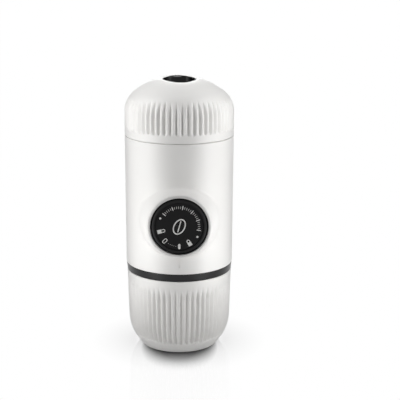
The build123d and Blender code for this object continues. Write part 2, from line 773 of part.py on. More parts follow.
# The head's shell: an upright wall, a shoulder and a low dome with the outlet in its middle
with BuildPart() as head_shell:
    dome_end = dome_edge + outlet_radius / 2 * tan(lip_slope)
    with BuildSketch(Plane.XZ):
        with BuildLine():
            FilletPolyline(
                (head_radius, head_bottom),
                (head_radius, head_shoulder),
                (dome_break_radius, dome_break),
                (outlet_radius / 2, dome_end),
                radius=[head_bend, dome_bend],
            )
            offset(amount=head_wall, side=Side.LEFT)
        make_face()
    revolve(axis=Axis.Z)
    ring(0, outlet_radius, core_top, dome_end, mode=Mode.SUBTRACT)
    lip = head_shell.edges().filter_by(GeomType.CIRCLE).sort_by(Axis.Z)[-1]
    fillet(lip, radius=outlet_round)
    skirt = head_shell.edges().filter_by(GeomType.CIRCLE).group_by(Axis.Z)[0]
    fillet(skirt.sort_by(SortBy.RADIUS)[-1], radius=edge_round)
    with PolarLocations(0, flute_count, start_angle=head_flute_turn - 90):
        add(head_groove.part, mode=Mode.SUBTRACT)
save(head_shell.part, "head_shell")

# The head's core: the screwed skirt, the well that holds the basket down, and its roof
with BuildPart() as head_core:
    roof_inset = head_wall + running_gap
    with BuildSketch(Plane.XZ):
        with BuildLine():
            Polyline(
                (core_socket, head_bottom),
                (core_skirt_radius, head_bottom),
                (core_skirt_radius, core_shoulder),
                (core_radius, core_shoulder),
                (core_radius, dome_height(core_radius, roof_inset)),
                (dome_radius(core_top, roof_inset), core_top),
                (outlet_port_radius, core_top),
                (outlet_port_radius, core_ceiling),
                (core_bore, core_ceiling),
                (core_bore, core_ledge),
                (core_socket, core_ledge),
                close=True,
            )
        make_face()
    revolve(axis=Axis.Z)
save(head_core.part, "head_core")

# The fine screen under the roof
with BuildPart() as outlet_screen:
    screen_floor = core_ceiling - outlet_screen_thickness
    ring(0, outlet_screen_radius, screen_floor, core_ceiling)
    perforate(outlet_screen_radius, screen_floor, core_ceiling)
save(outlet_screen.part, "outlet_screen")

# The soft valve in the roof, which holds the pressure back until the foam forms
with BuildPart() as crema_valve:
    ring(0, outlet_port_radius - fit_gap, core_ceiling, core_top)
    ring(0, valve_disc_radius, core_top, core_top + valve_disc_thickness)
    with BuildSketch(Plane.XY.offset(core_top)) as slit:
        Rectangle(valve_disc_radius, valve_slit)
        Rectangle(valve_slit, valve_disc_radius)
    extrude(slit.sketch, amount=valve_disc_thickness, mode=Mode.SUBTRACT)
save(crema_valve.part, "crema_valve")

# The outlet: a black funnel in the dome's hole, its rim dipping in three lobes
with BuildPart() as outlet_nozzle:
    funnel_bottom = core_top + valve_disc_thickness + fit_gap + nozzle_floor
    nozzle_inside = nozzle_radius - nozzle_wall
    with BuildSketch(Plane.XZ):
        with BuildLine():
            Polyline(
                (nozzle_inside, core_top),
                (nozzle_radius, core_top),
                (nozzle_radius, nozzle_top),
                (nozzle_inside, nozzle_top),
                (nozzle_inside, funnel_bottom + nozzle_funnel),
                (nozzle_drip_radius, funnel_bottom),
                (nozzle_drip_radius, funnel_bottom - nozzle_floor),
                (nozzle_inside, funnel_bottom - nozzle_floor),
                close=True,
            )
        make_face()
    revolve(axis=Axis.Z)
    with BuildSketch(Plane.XY.offset(nozzle_top - nozzle_lobe_depth)) as lobes:
        with PolarLocations(nozzle_radius, nozzle_lobes, start_angle=-90):
            Circle(nozzle_lobe_radius)
    extrude(lobes.sketch, amount=nozzle_lobe_depth, mode=Mode.SUBTRACT)
save(outlet_nozzle.part, "outlet_nozzle")
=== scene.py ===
import bpy, bmesh
from math import atan2, copysign, cos, hypot, pi, radians, sin, sqrt, tan
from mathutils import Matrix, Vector


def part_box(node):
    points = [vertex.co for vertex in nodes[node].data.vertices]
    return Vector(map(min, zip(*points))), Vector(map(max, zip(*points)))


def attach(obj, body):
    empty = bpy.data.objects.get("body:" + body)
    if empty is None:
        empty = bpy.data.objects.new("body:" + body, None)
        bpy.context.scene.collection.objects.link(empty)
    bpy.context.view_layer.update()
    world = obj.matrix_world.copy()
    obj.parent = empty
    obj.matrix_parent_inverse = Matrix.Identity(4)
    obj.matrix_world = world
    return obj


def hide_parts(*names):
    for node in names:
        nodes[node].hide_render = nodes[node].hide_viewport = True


print("espresso maker: loading the frame")
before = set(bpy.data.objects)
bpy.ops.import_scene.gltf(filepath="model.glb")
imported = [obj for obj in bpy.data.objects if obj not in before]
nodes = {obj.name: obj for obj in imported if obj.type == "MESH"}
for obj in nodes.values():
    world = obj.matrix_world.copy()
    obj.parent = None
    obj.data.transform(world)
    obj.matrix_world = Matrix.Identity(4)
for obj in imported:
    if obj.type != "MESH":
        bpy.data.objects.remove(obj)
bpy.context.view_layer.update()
mm = 0.001
weld = 0.004 * mm            # vertices nearer to each other than this become one
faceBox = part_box("knob_face")
pumpHeight = (faceBox[0][2] + faceBox[1][2]) / 2


def hexColour(text):
    # sRGB hex to the linear values that Blender works in
    values = [int(text[i:i + 2], 16) / 255 for i in (1, 3, 5)]
    return [v / 12.92 if v <= 0.04045 else ((v + 0.055) / 1.055) ** 2.4 for v in values] + [1.0]


def addNode(tree, kind, settings=None, links=None):
    # a setting or a link goes to the input of that name or number, or else to the node's property
    node = tree.nodes.new(kind)
    for name, value in (settings or {}).items():
        if isinstance(name, int) or name in node.inputs:
            node.inputs[name].default_value = value
        else:
            setattr(node, name, value)
    for name, source in (links or {}).items():
        tree.links.new(source, node.inputs[name])
    return node


def newMaterial(name):
    material = bpy.data.materials.new(name)
    material.use_nodes = True
    material.node_tree.nodes.clear()
    return material


def deselectAll():
    if bpy.context.object and bpy.context.object.mode != "OBJECT":
        bpy.ops.object.mode_set(mode="OBJECT")
    bpy.ops.object.select_all(action="DESELECT")


def editStart(piece):
    deselectAll()
    bpy.context.view_layer.objects.active = piece
    piece.select_set(True)
    bpy.ops.object.mode_set(mode="EDIT")
    bpy.ops.mesh.select_mode(type="VERT")


def selectWhere(piece, test):
    # selects the vertices whose place passes the test
    bpy.ops.mesh.select_mode(type="VERT")
    bpy.ops.mesh.select_all(action="DESELECT")
    mesh = bmesh.from_edit_mesh(piece.data)
    for vertex in mesh.verts:
        vertex.select = test(vertex.co)
    mesh.select_flush_mode()
    bmesh.update_edit_mesh(piece.data, loop_triangles=False)


def finishPiece(piece, name, material, body, smoothAngle):
    # named, smoothed, at the origin with its place in its mesh, and riding on its body
    deselectAll()
    bpy.context.view_layer.objects.active = piece
    piece.select_set(True)
    bpy.ops.object.transform_apply(location=True, rotation=True, scale=True)
    bpy.ops.object.shade_smooth_by_angle(angle=radians(smoothAngle))
    piece.name = piece.data.name = name
    piece.data.materials.clear()
    piece.data.materials.append(material)
    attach(piece, body)
    deselectAll()


def drawLine(points):
    # a new piece that is one line of vertices, left in edit mode
    deselectAll()
    bpy.ops.mesh.primitive_plane_add(size=mm)
    piece = bpy.context.object
    editStart(piece)
    bpy.ops.mesh.select_all(action="SELECT")
    bpy.ops.mesh.merge(type="CENTER")
    bpy.ops.transform.translate(value=points[0])
    for a, b in zip(points, points[1:]):
        step = tuple(q - p for p, q in zip(a, b))
        bpy.ops.mesh.extrude_region_move(TRANSFORM_OT_translate={"value": step})
    return piece


def turned(line, steps, onPump=False):
    # a turned shape: radius and height in mm about the main axis, or radius and reach forward
    # about the pump's axis
    if onPump:
        points = [(r * mm, -u * mm, pumpHeight) for r, u in line]
    else:
        points = [(r * mm, 0, z * mm) for r, z in line]
    piece = drawLine(points)
    bpy.ops.mesh.select_all(action="SELECT")
    bpy.ops.mesh.spin(steps=steps, angle=2 * pi, center=(0, 0, pumpHeight if onPump else 0),
                      axis=(0, -1, 0) if onPump else (0, 0, 1))
    bpy.ops.mesh.select_all(action="SELECT")
    bpy.ops.mesh.remove_doubles(threshold=weld)
    bpy.ops.mesh.normals_make_consistent(inside=False)
    return piece


def roundCorners(points, rounds, longest=0.9):
    # the line with its inner corners turned into arcs of points, no further apart than the longest
    # step, all in mm
    line = [tuple(points[0])]
    for before, corner, after, radius in zip(points, points[1:], points[2:], rounds):
        corner = Vector(corner)
        if not radius:
            line.append(tuple(corner))
            continue
        a = (Vector(before) - corner).normalized()
        b = (Vector(after) - corner).normalized()
        half = a.angle(b) / 2
        middle = corner + (a + b).normalized() * radius / sin(half)
        first = corner + a * radius / tan(half) - middle
        last = corner + b * radius / tan(half) - middle
        start = atan2(first.y, first.x)
        sweep = (atan2(last.y, last.x) - start + pi) % (2 * pi) - pi
        count = max(4, round(abs(sweep) * radius / longest))
        for i in range(count + 1):
            turn = start + sweep * i / count
            line.append((middle.x + radius * cos(turn), middle.y + radius * sin(turn)))
    return line + [tuple(points[-1])]


def mouldedPlastic(name, colour, roughness, grain, depth, ior=1.5, shade=0.04):
    # moulded plastic: a fine spark-eroded grain from the mould, its size and depth in mm, and a slow
    # change of gloss where hands and the mould's flow have left it a little smoother
    material = newMaterial(name)
    tree = material.node_tree
    place = addNode(tree, "ShaderNodeTexCoord")
    fine = addNode(tree, "ShaderNodeTexNoise",
                   {"Scale": 1000 / grain, "Detail": 3.0, "Roughness": 0.55},
                   {"Vector": place.outputs["Object"]})
    # patches of about 29 mm
    slow = addNode(tree, "ShaderNodeTexNoise",
                   {"Scale": 35.0, "Detail": 2.0}, {"Vector": place.outputs["Object"]})
    gloss = addNode(tree, "ShaderNodeMapRange",
                    {"From Min": 0.3, "From Max": 0.7,
                     "To Min": roughness - 0.03, "To Max": roughness + 0.04},
                    {"Value": slow.outputs["Fac"]})
    dark = [v * (1 - shade) for v in hexColour(colour)[:3]] + [1.0]
    tint = addNode(tree, "ShaderNodeMix", {"data_type": "RGBA", 6: hexColour(colour), 7: dark},
                   {"Factor": fine.outputs["Fac"]})
    bump = addNode(tree, "ShaderNodeBump", {"Strength": 0.6, "Distance": depth * mm},
                   {"Height": fine.outputs["Fac"]})
    shader = addNode(tree, "ShaderNodeBsdfPrincipled", {"IOR": ior},
                     {"Base Color": tint.outputs[2], "Roughness": gloss.outputs["Result"],
                      "Normal": bump.outputs["Normal"]})
    addNode(tree, "ShaderNodeOutputMaterial", links={"Surface": shader.outputs["BSDF"]})
    return material


# white ABS under a satin lacquer: near white, with soft broad highlights
satinAbs = mouldedPlastic("whiteAbsSatinLacquered", "#F0EFED", 0.42, 0.45, 0.010, shade=0.012)
# black polypropylene from a spark-eroded mould: dead matt, for the frames inside
blackPolypropylene = mouldedPlastic("blackPolypropyleneMoulded", "#0F0F10", 0.5, 0.5, 0.02)
# grey acetal of the pump, moulded and reamed: waxy and smooth
greyAcetal = mouldedPlastic("greyAcetalMoulded", "#85888A", 0.38, 0.6, 0.006)
# black ABS with a coarse leather-like mould grain, for the knob's front
grainedAbs = mouldedPlastic("blackAbsCoarseGrain", "#121213", 0.6, 0.5, 0.05, ior=1.25, shade=0.5)
# black ABS, fine grain, for the knob's side
knobAbs = mouldedPlastic("blackAbsFineGrain", "#0C0C0D", 0.4, 0.4, 0.012, ior=1.28, shade=0.1)
# black thermoplastic elastomer moulded on the tank: satin, catches broad soft highlights
collarElastomer = mouldedPlastic("blackElastomerMoulded", "#0A0A0B", 0.3, 0.35, 0.012, ior=1.38, shade=0.1)
# piano-black ABS from a polished mould: mirror gloss
glossAbs = mouldedPlastic("blackAbsPolishedMould", "#020203", 0.06, 3.0, 0.002, ior=1.28, shade=0.1)
# natural silicone seals: pale grey and slightly greasy looking
siliconeSeal = mouldedPlastic("naturalSiliconeMoulded", "#B9B5AD", 0.48, 0.8, 0.008)


def clearPlastic(name, colour, roughness, thinned):
    # clear moulded plastic: a glass-like wall with faint flow lines, its tint thinned with white
    material = newMaterial(name)
    tree = material.node_tree
    place = addNode(tree, "ShaderNodeTexCoord")
    flow = addNode(tree, "ShaderNodeTexNoise", {"Scale": 60.0, "Detail": 1.0},
                   {"Vector": place.outputs["Object"]})
    bump = addNode(tree, "ShaderNodeBump", {"Strength": 0.1, "Distance": 0.05 * mm},
                   {"Height": flow.outputs["Fac"]})
    tint = addNode(tree, "ShaderNodeMix", {"data_type": "RGBA", 6: hexColour(colour),
                                           7: hexColour("#FFFFFF"), "Factor": thinned})
    shader = addNode(tree, "ShaderNodeBsdfPrincipled",
                     {"Roughness": roughness, "IOR": 1.5, "Transmission Weight": 0.9},
                     {"Base Color": tint.outputs[2], "Normal": bump.outputs["Normal"]})
    addNode(tree, "ShaderNodeOutputMaterial", links={"Surface": shader.outputs["BSDF"]})
    return material


# smoke-tinted copolyester from a polished mould: clear, with sharp highlights
smokeCopolyester = clearPlastic("smokeCopolyesterMoulded", "#54585A", 0.05, 0.1)
# extruded silicone tube: milky, with blurred highlights
tubeSilicone = clearPlastic("clearTubeExtruded", "#E8E6E0", 0.3, 0.1)


def linedSteel(name, colour, roughness, squeeze):
    # stainless steel: lines from rolling or drawing, which the squeeze draws out along one
    # direction; they are about a millimetre apart, coarser than the real ones, so that they show
    material = newMaterial(name)
    tree = material.node_tree
    place = addNode(tree, "ShaderNodeTexCoord")
    stretch = addNode(tree, "ShaderNodeMapping", {"Scale": squeeze}, {"Vector": place.outputs["Object"]})
    lines = addNode(tree, "ShaderNodeTexNoise", {"Scale": 900.0, "Detail": 2.0},
                    {"Vector": stretch.outputs["Vector"]})
    gloss = addNode(tree, "ShaderNodeMapRange",
                    {"To Min": roughness - 0.08, "To Max": roughness + 0.1}, {"Value": lines.outputs["Fac"]})
    bump = addNode(tree, "ShaderNodeBump", {"Strength": 0.3, "Distance": 0.004 * mm},
                   {"Height": lines.outputs["Fac"]})
    shader = addNode(tree, "ShaderNodeBsdfPrincipled",
                     {"Base Color": hexColour(colour), "Metallic": 1.0},
                     {"Roughness": gloss.outputs["Result"], "Normal": bump.outputs["Normal"]})
    addNode(tree, "ShaderNodeOutputMaterial", links={"Surface": shader.outputs["BSDF"]})
    return material


# the real pin holes are 0.3 mm across; these are drawn coarser, so that they show
pinHoles = {"pitch": 1.5, "hole": 0.7, "softEdge": 0.15}


def pinHoled(material):
    # adds pin holes, in staggered rows, to the level faces of a finished material
    tree = material.node_tree
    shader = [n for n in tree.nodes if n.type == "BSDF_PRINCIPLED"][0]
    place = addNode(tree, "ShaderNodeTexCoord")
    turn = addNode(tree, "ShaderNodeMapping",
                   {"Rotation": (0, 0, pi / 4)}, {"Vector": place.outputs["Object"]})
    cells = addNode(tree, "ShaderNodeTexVoronoi",
                    {"voronoi_dimensions": "2D", "Scale": 1000 / pinHoles["pitch"], "Randomness": 0.0},
                    {"Vector": turn.outputs["Vector"]})
    level = addNode(tree, "ShaderNodeSeparateXYZ", links={0: place.outputs["Normal"]})
    level = addNode(tree, "ShaderNodeMath", {"operation": "ABSOLUTE"}, {0: level.outputs["Z"]})
    level = addNode(tree, "ShaderNodeMath", {"operation": "GREATER_THAN", 1: 0.9}, {0: level.outputs[0]})
    edge = pinHoles["hole"] / pinHoles["pitch"] / 2
    soft = edge * pinHoles["softEdge"]
    pin = addNode(tree, "ShaderNodeMapRange",
                  {"From Min": edge - soft, "From Max": edge + soft, "To Min": 1.0, "To Max": 0.0},
                  {"Value": cells.outputs["Distance"]})
    pin = addNode(tree, "ShaderNodeMath", {"operation": "MULTIPLY"},
                  {0: pin.outputs["Result"], 1: level.outputs[0]})
    tint = addNode(tree, "ShaderNodeMix", {"data_type": "RGBA", 7: hexColour("#050505")},
                   {"Factor": pin.outputs[0]})
    given = shader.inputs["Base Color"]
    if given.is_linked:
        tree.links.new(given.links[0].from_socket, tint.inputs[6])
    else:
        tint.inputs[6].default_value = given.default_value
    tree.links.new(tint.outputs[2], given)
    return material


# rolled stainless sheet, etched through: a streaky grey shine between the dark holes
etchedSheet = pinHoled(linedSteel("stainlessSteelEtchedScreen", "#C9C6C2", 0.26, (1.0, 0.05, 1.0)))
# black polypropylene, pierced: the matt floor of the basket
piercedPolypropylene = pinHoled(mouldedPlastic("blackPolypropylenePierced", "#141415", 0.45, 0.5, 0.02))
# drawn stainless wire and screws: brighter lines along the metal
drawnSteel = linedSteel("stainlessSteelDrawn", "#BFBDB9", 0.3, (1.0, 1.0, 0.3))

cadFinishes = {
    "cup": satinAbs, "body_shell": satinAbs, "head_shell": satinAbs,
    "tank": smokeCopolyester, "inlet_tube": tubeSilicone, "outlet_tube": tubeSilicone,
    "tank_collar": collarElastomer, "knob": knobAbs, "knob_face": grainedAbs,
    "lower_frame": blackPolypropylene, "upper_frame": blackPolypropylene,
    "neck_ring": blackPolypropylene, "knob_guide": blackPolypropylene,
    "rod_guide": blackPolypropylene, "head_core": blackPolypropylene,
    "inlet_strainer": blackPolypropylene, "filter_basket": piercedPolypropylene,
    "scoop": blackPolypropylene, "outlet_nozzle": glossAbs,
    "pump_block": greyAcetal, "piston": greyAcetal,
    "tank_gasket": siliconeSeal, "piston_seal": siliconeSeal, "inlet_valve": siliconeSeal,
    "outlet_valve": siliconeSeal, "air_valve": siliconeSeal, "brew_seal": siliconeSeal,
    "head_gasket": siliconeSeal, "crema_valve": siliconeSeal,
    "frame_screws": drawnSteel, "knob_screw": drawnSteel, "pump_spring": drawnSteel,
    "shower_screen": etchedSheet, "outlet_screen": etchedSheet,
}
for name, node in nodes.items():
    for place in range(len(node.material_slots)):
        node.material_slots[place].material = cadFinishes[name]
print("espresso maker: materials on", len(nodes), "nodes")


# the white shells: one flute's strip is drawn, its groove pulled in, and the strip copied round
cupShape = {
    # radius and height in mm: the base, up the outside, over the rim and down the inside
    "line": [(0, 0), (22.3, 0), (29.2, 9.6), (30.2, 44.9), (28.0, 44.9), (27.0, 10.2), (21.3, 2.2), (0, 2.2)],
    "rounds": [1.0, 24.0, 0.6, 0.6, 21.8, 0.8],
    "firstGroove": 2.0,      # degrees from the front
    "grooveFrom": 6.4, "grooveTo": 42.0,
    "endRound": 1.8,         # length of the rounded end, mm
    "fade": 8.5,             # length over which the other end fades out, mm
    "point": 0.55,           # how much narrower it gets there
    "rows": [(5.5, 9.5, 0.45), (9.5, 30, 1.3), (30, 44, 0.85)],      # from, to, and the rows' height
}
headShape = {
    "line": [(28.6, 123.45), (31.0, 123.45), (31.0, 144.8), (19.6, 152.0), (11.5, 156.04), (9.9, 156.04),
             (9.9, 154.15), (19.12, 149.55), (28.6, 143.56), (28.6, 123.45)],
    "rounds": [0.7, 14.2, 60.0, 1.2, 0.25, 0.2, 57.6, 11.8],
    "firstGroove": 3.0,
    "grooveFrom": 128.0, "grooveTo": 146.8,
    "endRound": 1.8,
    "fade": 8.5,
    "point": 0.85,
    "rows": [(127, 131, 0.45), (131, 138, 1.2), (138, 150, 0.6)],
    "dipFrom": 146.0, "dipFull": 150.0,      # the lip's dips grow from one level to the other
}
groove = {
    "count": 60, "depth": 1.5, "halfWidth": 1.58,
    "crown": 1.5,            # above 1, a narrow valley between round crowns
    "columns": 16,           # columns of faces to each groove
    "shallowest": 0.003,     # less than this is left flat, mm
    "slack": 0.01,           # how near a vertex is to its row, mm
}
shellRows = {"outside": 3.0, "inside": 5.0}      # height where nothing finer is asked for, mm


def grooveDepth(shape, along, length, across):
    # depth at a distance from the groove's lower end and from its middle line
    if not 0 < along < length:
        return 0.0
    wide, deep = 1.0, 1.0
    if along < shape["endRound"]:
        wide = deep = sqrt(1 - (1 - along / shape["endRound"]) ** 2)
    left = (length - along) / shape["fade"]
    if left < 1:
        deep = left * left * (3 - 2 * left)
        wide = 1 - shape["point"] * (1 - left) ** 1.5
    share = across / (groove["halfWidth"] * wide)
    return groove["depth"] * deep * (1 - share) ** groove["crown"] if share < 1 else 0.0


def flutedShell(shape):
    # one flute's strip, turned about the main axis, with the grooves on its outer side
    rough = roundCorners(shape["line"], shape["rounds"])
    peak = max(range(len(rough)), key=lambda i: rough[i][1])
    line = [rough[0]]
    for i, (a, b) in enumerate(zip(rough, rough[1:])):
        # more rows where the grooves begin and end
        step = shellRows["inside"]
        if i < peak:
            middle = (a[1] + b[1]) / 2
            fine = [height for low, high, height in shape["rows"] if low < middle < high]
            step = min(fine or [shellRows["outside"]])
        parts = max(1, round(hypot(b[0] - a[0], b[1] - a[1]) / step))
        line += [tuple(p + (q - p) * k / parts for p, q in zip(a, b)) for k in range(1, parts + 1)]
    peak = max(range(len(line)), key=lambda i: line[i][1])
    lengths = [0.0]
    for a, b in zip(line, line[1:]):
        lengths.append(lengths[-1] + hypot(b[0] - a[0], b[1] - a[1]))
    start = lengths[min(range(2, peak), key=lambda i: abs(line[i][1] - shape["grooveFrom"]))]
    end = lengths[min(range(2, peak), key=lambda i: abs(line[i][1] - shape["grooveTo"]))]

    piece = drawLine([(r * mm, 0, z * mm) for r, z in line])
    pitch = 2 * pi / groove["count"]
    bpy.ops.mesh.select_all(action="SELECT")
    bpy.ops.mesh.spin(steps=groove["columns"], angle=pitch, center=(0, 0, 0), axis=(0, 0, 1))
    for i in range(2, peak):
        radius, height = line[i]
        along = Vector(line[i + 1]) - Vector(line[i - 1])
        inward = Vector((-along.y, along.x)).normalized()
        for column in range(groove["columns"] // 2):
            turn = pitch * column / groove["columns"]
            depth = grooveDepth(shape, lengths[i] - start, end - start, turn * radius)
            if depth < groove["shallowest"]:
                continue

            def isPair(co):
                # the vertex in this row and column, and its mirror image in the strip
                off = max(abs(co.z - height * mm), abs(hypot(co.x, co.y) - radius * mm))
                if off > groove["slack"] * mm:
                    return False
                at = abs(atan2(co.y, co.x))
                return min(abs(at - turn), abs(at - pitch + turn)) < pitch / groove["columns"] / 4

            selectWhere(piece, isPair)
            shrink = 1 + inward.x * depth / radius
            bpy.ops.transform.resize(value=(shrink, shrink, 1), center_override=(0, 0, 0))
            bpy.ops.transform.translate(value=(0, 0, inward.y * depth * mm))
    bpy.ops.mesh.select_all(action="SELECT")
    bpy.ops.mesh.spin(steps=groove["count"], angle=2 * pi, center=(0, 0, 0), axis=(0, 0, 1), dupli=True)
    bpy.ops.mesh.select_all(action="SELECT")
    bpy.ops.mesh.remove_doubles(threshold=weld)
    bpy.ops.mesh.normals_make_consistent(inside=False)
    bpy.ops.transform.rotate(value=-radians(shape["firstGroove"]), orient_axis="Z", center_override=(0, 0, 0))
    return piece


print("espresso maker: fluted cup")
cup = flutedShell(cupShape)
finishPiece(cup, "fluted_cup", satinAbs, "cup", 60)
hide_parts("cup")

# the dome's lip and the outlet in it lean to the front, and dip in three lobes, one of them there
lip = {
    "lobes": 3, "turn": -82,             # the front lobe's place, degrees from the right
    "lean": 0.66, "dip": 0.24,           # mm
    "start": 15.5, "full": 10.3,         # radii where the dips begin and are full
}


def dipLobes(piece, lowest, highest):
    # lowers the vertices round the outlet, fully at the highest level and not at all at the lowest
    bpy.ops.object.mode_set(mode="OBJECT")
    for vertex in piece.data.vertices:
        radius = hypot(vertex.co.x, vertex.co.y) / mm
        near = min(1, max(0, (lip["start"] - radius) / (lip["start"] - lip["full"])))
        rise = min(1, max(0, (vertex.co.z / mm - lowest) / (highest - lowest)))
        turn = atan2(vertex.co.y, vertex.co.x) - radians(lip["turn"])
        drop = lip["lean"] * (1 + cos(turn)) + lip["dip"] * (1 + cos(lip["lobes"] * turn))
        vertex.co.z -= drop * near * near * (3 - 2 * near) * rise * mm


print("espresso maker: fluted head")
headWall = flutedShell(headShape)
dipLobes(headWall, headShape["dipFrom"], headShape["dipFull"])
finishPiece(headWall, "fluted_head", satinAbs, "head", 60)
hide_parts("head_shell")


# screw threads: two starts each, as low ribs that run up the necks and down the sockets
threadTable = [
    # name, radius of the wall, rise of the rib, lowest level, finish, body, slot; all in mm
    ("tank_thread", 25.5, 0.25, 51.0, smokeCopolyester, "tank", "smoke_tank"),
    ("socket_thread", 26.2, -0.35, 52.0, blackPolypropylene, "main_body", "black_moulding"),
    ("neck_thread", 24.2, 0.25, 123.6, blackPolypropylene, "main_body", "black_moulding"),
    ("skirt_thread", 24.9, -0.3, 124.6, blackPolypropylene, "head", "black_moulding"),
]
thread = {
    "lead": 6.0, "turns": 0.8, "starts": 2, "steps": 72, "width": 1.1,
    "tip": 0.5,              # the tip's width, as a share of the root's
    "root": 0.05,            # how deep the rib starts in the wall
    "firstTurn": 0.4,        # where the first start begins, radians
}
print("espresso maker: threads")
for name, radius, rise, low, finish, body, slot in threadTable:
    for start in range(thread["starts"]):
        deselectAll()
        bpy.ops.mesh.primitive_plane_add(size=1, location=(0, 0, 0), rotation=(pi / 2, 0, 0))
        rib = bpy.context.object
        bpy.ops.object.transform_apply(location=False, rotation=True)
        editStart(rib)
        bpy.ops.mesh.select_all(action="SELECT")
        bpy.ops.transform.resize(value=((abs(rise) + thread["root"]) * mm, 1, thread["width"] * mm),
                                 center_override=(0, 0, 0))
        selectWhere(rib, lambda co: co.x * rise > 0)
        bpy.ops.transform.resize(value=(1, 1, thread["tip"]), center_override=(0, 0, 0))
        bpy.ops.mesh.select_all(action="SELECT")
        middle = radius + rise / 2 - copysign(thread["root"] / 2, rise)
        bpy.ops.transform.translate(value=(middle * mm, 0, low * mm))
        bpy.ops.transform.rotate(value=2 * pi * start / thread["starts"] + thread["firstTurn"],
                                 orient_axis="Z", center_override=(0, 0, 0))
        bpy.ops.mesh.delete(type="ONLY_FACE")
        bpy.ops.object.mode_set(mode="OBJECT")
        climb = rib.modifiers.new("climb", "SCREW")
        climb.angle = 2 * pi * thread["turns"]
        climb.screw_offset = thread["lead"] * thread["turns"] * mm
        climb.steps = climb.render_steps = thread["steps"]
        bpy.ops.object.modifier_apply(modifier=climb.name)
        editStart(rib)
        bpy.ops.mesh.select_all(action="SELECT")
        bpy.ops.mesh.fill_holes(sides=4)
        bpy.ops.mesh.select_all(action="SELECT")
        bpy.ops.mesh.normals_make_consistent(inside=False)
        finishPiece(rib, f"{name}_{start}", finish, body, 30)


# the outlet in the dome: a glossy bowl, its wall drawn into three lobes, over a drip funnel
outletBowl = {
    "outer": 9.72, "top": 155.98, "bottom": 148.5, "steps": 96,
    "wall": 9.3,             # inner radius at a lobe
    "lobeStep": 1.5,         # how far the wall steps in between lobes
    "shoulder": 0.75,        # how far the steps lie below the rim
    "taper": 0.4,            # how much narrower the wall is at the funnel
    "funnelTop": 151.8, "dripRadius": 3.0, "dripTop": 150.4,
    "rounds": [0.3, 0.2, 0.2, 0.0, 0.8, 0.5], "row": 0.5,
    "stepFrom": 4.5, "stepLow": 150.9,       # the steps' innermost radius and lowest level
    "rimDepth": 0.5,         # the rim above the steps, which stays round
    "dipDepth": 0.4,         # how far below the top the lip's dips are full
}


def lobedBowl(size):
    drip, wall, top = size["dripRadius"], size["wall"], size["top"]
    bowl = turned(roundCorners(
        [(drip, size["bottom"]), (size["outer"], size["bottom"]), (size["outer"], top), (wall, top),
         (wall, top - size["shoulder"]), (wall - size["taper"], size["funnelTop"]),
         (drip, size["dripTop"]), (drip, size["bottom"])],
        size["rounds"], size["row"]), size["steps"])
    for i in range(size["steps"]):
        turn = 2 * pi * i / size["steps"]
        step = size["lobeStep"] * (0.5 - 0.5 * cos(lip["lobes"] * (turn - radians(lip["turn"])))) ** 2

        def isInside(co):
            if not size["stepLow"] * mm < co.z < (top - size["rimDepth"]) * mm:
                return False
            if not size["stepFrom"] * mm < hypot(co.x, co.y) < wall * mm + weld:
                return False
            return abs((atan2(co.y, co.x) - turn + pi) % (2 * pi) - pi) < pi / size["steps"]

        if step > 0.01:
            selectWhere(bowl, isInside)
            bpy.ops.transform.translate(value=(-step * cos(turn) * mm, -step * sin(turn) * mm, 0))
    dipLobes(bowl, size["funnelTop"], top - size["dipDepth"])
    return bowl


print("espresso maker: outlet")
bowl = lobedBowl(outletBowl)
finishPiece(bowl, "lobed_outlet", glossAbs, "head", 50)
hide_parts("outlet_nozzle")


# the boss round the knob flows into the body: a turned ring whose outer face is drawn down to it
bossRing = {
    "inner": 16.0, "crest": 16.6, "outer": 23.4,       # radii about the knob's axis
    "topTrim": 3.4, "lowTrim": 3.0,      # how much narrower it is above and below
    "topCrest": 0.5,                     # how much further out its fall starts above
    "front": 39.85, "edgeRound": 0.2, "rows": 20, "steps": 120,
    "deep": 0.5, "thick": 0.4,           # its depth at the inner edge, and under the fall
    "sink": 0.02,                        # how deep its outer edge ends in the body's wall
}
bodyEnds = [(30.7, 49.4), (31.0, 123.3)]         # the body's radius and height at its two ends


def bodyReach(x, z):
    # how far forward the body's wall is there, in mm
    (lowRadius, low), (highRadius, high) = bodyEnds
    radius = lowRadius + (highRadius - lowRadius) * (z - low) / (high - low)
    return sqrt(radius * radius - x * x)


def blendedBoss(size):
    inner, crest, front, edge = size["inner"], size["crest"], size["front"], size["edgeRound"]
    rows = [crest + (size["outer"] - crest) * i / size["rows"] for i in range(size["rows"] + 1)]
    back = front - size["deep"]
    line = [(inner, back), (inner, front - edge),
            (inner + edge * 0.3, front - edge * 0.3),        # the middle of the rounded edge
            (inner + edge, front)]
    line += [(r, front) for r in rows]
    line += [(r, back) for r in rows[::-1]] + [(inner, back)]
    boss = turned(line, size["steps"], onPump=True)
    bpy.ops.object.mode_set(mode="OBJECT")
    middle = pumpHeight / mm
    for vertex in boss.data.vertices:
        x, z = vertex.co.x / mm, vertex.co.z / mm
        radius = hypot(x, z - middle)
        if radius < crest + weld / mm:
            continue
        share = (radius - crest) / (size["outer"] - crest)
        rise = (z - middle) / radius
        start = crest + size["topCrest"] * max(0, rise) ** 2
        end = size["outer"] - size["topTrim"] * max(0, rise) ** 2 - size["lowTrim"] * max(0, -rise) ** 4
        shrink = (start + (end - start) * share) / radius
        x, z = x * shrink, middle + (z - middle) * shrink
        fall = share ** 3 * (10 - 15 * share + 6 * share * share)        # level at both ends
        reach = bodyReach(x, z) - size["sink"]
        if -vertex.co.y / mm < front - size["deep"] / 2:
            reach -= size["thick"]
        else:
            reach += (front - reach) * (1 - fall)
        vertex.co = (x * mm, -reach * mm, z * mm)
    return boss


print("espresso maker: boss")
boss = blendedBoss(bossRing)
finishPiece(boss, "boss_blend", satinAbs, "main_body", 60)


